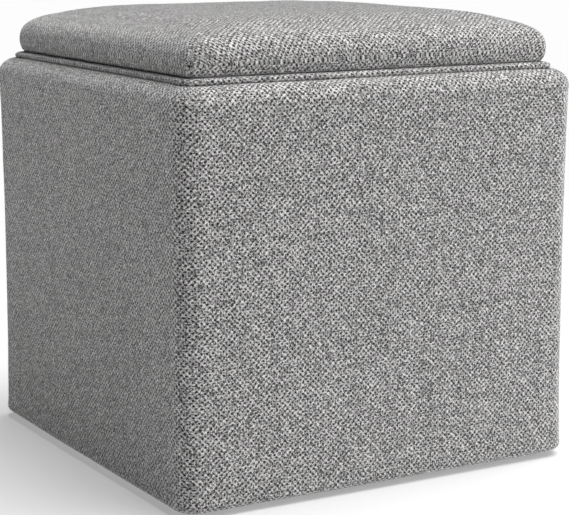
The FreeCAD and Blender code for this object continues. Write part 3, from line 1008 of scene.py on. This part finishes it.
def corner_seams(piece):
    """Four sewn corners that run up the side and fade out on the shoulder."""
    low, high = SEAM_FADE
    for v in piece.data.vertices:
        fade = share_between(v.co.z, high, low)
        if fade == 0.0 or v.co.z < LID_FOOT_Z - 0.0004:
            continue
        away = (abs(v.co.x) - abs(v.co.y)) / math.sqrt(2)
        sink = seam_sink(away, CUSHION_SEAM) * fade
        inwards = Vector((-math.copysign(1, v.co.x), -math.copysign(1, v.co.y), 0)).normalized()
        v.co += inwards * sink
    piece.data.update()


def lined(piece):
    """Gives a one-sided cover the cloth's thickness: an inner skin, joined at the hem."""
    places, normals = normals_of(piece)
    mesh = piece.data
    count = len(places)
    layer = mesh.uv_layers["cloth"].data
    faces = [list(f.vertices) for f in mesh.polygons]
    corners = [[tuple(layer[k].uv) for k in f.loop_indices] for f in mesh.polygons]
    inner = [[k + count for k in reversed(f)] for f in faces]
    strip = [[b, a, a + count, b + count] for a, b in sorted(open_edges(faces))]
    uvs = [uv for f in corners for uv in f] + [uv for f in corners for uv in reversed(f)]
    uvs += [(0, 0)] * (4 * len(strip))
    verts = np.vstack([places, places - normals * CLOTH_T])
    name, material = piece.name, mesh.materials[0]
    bpy.data.objects.remove(piece)
    bpy.data.meshes.remove(mesh)
    return make_piece(name, verts, faces + inner + strip, uvs, material)


def filling(name, places, normals, index, outer, inner, material):
    """Padding under the cover, from the outer depth to the inner one.

    Where inner is None, it is solid down to the board.
    """
    floor_z = LID_BOARD_TOP + GAP
    depths = [outer] if inner is None else [outer, inner]

    def sunk(place, depth):
        k = index[place]
        return places[k] - normals[k] * depth

    rings = RINGS
    while min(sunk(place, depths[-1])[2] for place in edge_loop(rings)) < floor_z + 0.0008:
        rings -= 1
    loop = edge_loop(rings)
    span = range(-rings, rings + 1)
    verts, faces, feet = [], [], []
    for turn, depth in enumerate(depths):
        number = {}
        for i in span:
            for j in span:
                number[(i, j)] = len(verts)
                verts.append(sunk((i, j), depth))
        shell = [[number[k] for k in ((i, j), (i + 1, j), (i + 1, j + 1), (i, j + 1))]
                 for i in span[:-1] for j in span[:-1]]
        foot = {}
        for place in loop:
            foot[place] = len(verts)
            x, y, _ = verts[number[place]]
            verts.append((x, y, floor_z))
        for a, b in zip(loop, loop[1:] + loop[:1]):
            shell.append([number[b], number[a], foot[a], foot[b]])
        faces += shell if turn == 0 else [f[::-1] for f in shell]
        feet.append([foot[place] for place in loop])
    if inner is None:
        faces.append(feet[0][::-1])
    else:
        for k in range(len(loop)):
            n = (k + 1) % len(loop)
            faces.append([feet[0][n], feet[0][k], feet[1][k], feet[1][n]])
    return make_piece(name, verts, faces, None, material)


# ---- run -------------------------------------------------------------------
SIDES = ("rear", "left", "front", "right")   # one to four quarter turns from the right side
FLOOR_LINING_PLAY = 0.0016
GLIDE_HOLE_R = 0.0052
GROUND_HALF = 30.0


def settle(piece, body, nodes):
    """Hangs a piece on the body it rides on, and hides the parts of the frame that it stands for."""
    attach(piece, body)
    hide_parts(*nodes)
    return piece


make_camera()
make_light()

TWEED = tweed()
LINING = lining_cloth("lining", 0.062, 0.0007, 0.8)
BONDED = bonded_cloth()
FOAM = foam_block()
FLUFF = fluff()

settle(box_cover(TWEED), "box", ["outer_cover"])
for turn, side in enumerate(SIDES, 1):
    settle(wall_padding(side + "_wall_foam", turn, FOAM), "box", [side + "_foam"])
    settle(rim_padding(side + "_rim_foam", turn, FOAM), "box", ["rim_foam_" + side])

lining = settle(hemmed_lining(LINING), "box", ["wall_lining"])

floor_half = ROOM_HALF - FLOOR_LINING_PLAY
floor_cloth = sheet_mesh("floor_lining_cloth", floor_half, LINING_CORNER_R, FLOOR_Z + GAP / 2,
                         LINING_T, LINING, lambda x, y: 0.0)
settle(floor_cloth, "box", ["floor_lining"])

glide_low, glide_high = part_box("glide_front_left")
glide_at = -(glide_low.x + glide_high.x) / 2
holes = [(sx * glide_at, sy * glide_at, GLIDE_HOLE_R) for sx in (-1, 1) for sy in (-1, 1)]
dust_half = dust_high.x


def dust_sag(x, y):
    """The cloth hangs a little between its stapled edges, and lies flat at the glides."""
    free = max(0.0, (1 - (x / dust_half) ** 2) * (1 - (y / dust_half) ** 2))
    held = min(math.hypot(abs(x) - glide_at, abs(y) - glide_at) / 0.06, 1.0)
    wave = noise.noise(Vector((x, y, 0)) * 22)
    return 0.0001 - (0.0010 * free + 0.0005 * wave * free) * held


dust = sheet_mesh("dust_cloth", dust_half, 0.008, dust_low.z, 0.0007, BONDED, dust_sag, holes)
settle(dust, "box", ["dust_cover"])

verts, faces, uvs, index, loop = cushion_surface()
cushion = make_piece("lid_cushion", verts, faces, uvs, TWEED)
levels = range(1, SIDE_ROWS + 1)
blown_up(cushion, [index[key_at(place, level)] for place in loop for level in levels])
places, normals = normals_of(cushion)
under = CLOTH_T + GAP
wadding = filling("cushion_wadding", places, normals, index, under, under + WADDING_T, FLUFF)
block = filling("cushion_foam", places, normals, index, under + WADDING_T + GAP, None, FOAM)
refined(cushion)
ruffle(cushion, *CUSHION_RUFFLE, still=LID_FOOT_Z)
corner_seams(cushion)
cushion = lined(cushion)
settle(cushion, "lid", ["lid_cover"])
settle(wadding, "lid", ["lid_wadding"])
settle(block, "lid", ["lid_foam"])

settle(piping(TWEED), "lid", ["welt_sleeve"])
settle(piping_cord(cord_fibre()), "lid", ["welt_cord"])

ground = bpy.data.meshes.new("floor")
corners = [(sx * GROUND_HALF, sy * GROUND_HALF, 0) for sx, sy in ((-1, -1), (1, -1), (1, 1), (-1, 1))]
ground.from_pydata(corners, [], [(0, 1, 2, 3)])
pale = Nodes("pale_floor")
pale.set(Base_Color=(0.50, 0.50, 0.50, 1), Roughness=0.9, Specular_IOR_Level=0.1,
         Emission_Color=(1.0, 1.0, 1.0, 1), Emission_Strength=0.31)
ground.materials.append(pale.material)
floor = bpy.data.objects.new("floor", ground)
bpy.context.collection.objects.link(floor)

CHIPBOARD = chipboard()
pine = ((0.50, 0.33, 0.16, 1), (0.78, 0.60, 0.37, 1), 0.7)
stained = ((0.20, 0.11, 0.05, 1), (0.46, 0.29, 0.15, 1), 0.45)
SOFTWOOD_X, SOFTWOOD_Y = (timber("softwood_" + "xy"[axis], axis, *pine) for axis in (0, 1))
TRAY_X, TRAY_Y = (timber("tray_wood_" + "xy"[axis], axis, *stained) for axis in (0, 1))
ZINC = metal("zinc", 0.66, 0.06, 0.38)
WIRE = metal("staple_wire", 0.70, 0.0, 0.30)
PLASTIC = moulded_plastic()
# pieces that keep their own shape; the first ending or beginning that fits gives the material
LOOKS_BY_END = {"_screws": ZINC, "_staples": WIRE}
LOOKS_BY_START = {"base_panel": CHIPBOARD, "lid_board": CHIPBOARD, "tray_panel": TRAY_X,
                  "corner_block_": SOFTWOOD_X, "glide_": PLASTIC}
for side in SIDES:
    across = side in ("front", "rear")
    LOOKS_BY_START[side + "_panel"] = CHIPBOARD
    LOOKS_BY_START["base_cleat_" + side] = SOFTWOOD_X if across else SOFTWOOD_Y
    LOOKS_BY_START["tray_batten_" + side] = TRAY_X if across else TRAY_Y
for name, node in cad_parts.items():
    fits = [look for end, look in LOOKS_BY_END.items() if name.endswith(end)]
    fits += [look for start, look in LOOKS_BY_START.items() if name.startswith(start)]
    if fits:
        node.material_slots[0].material = fits[0]
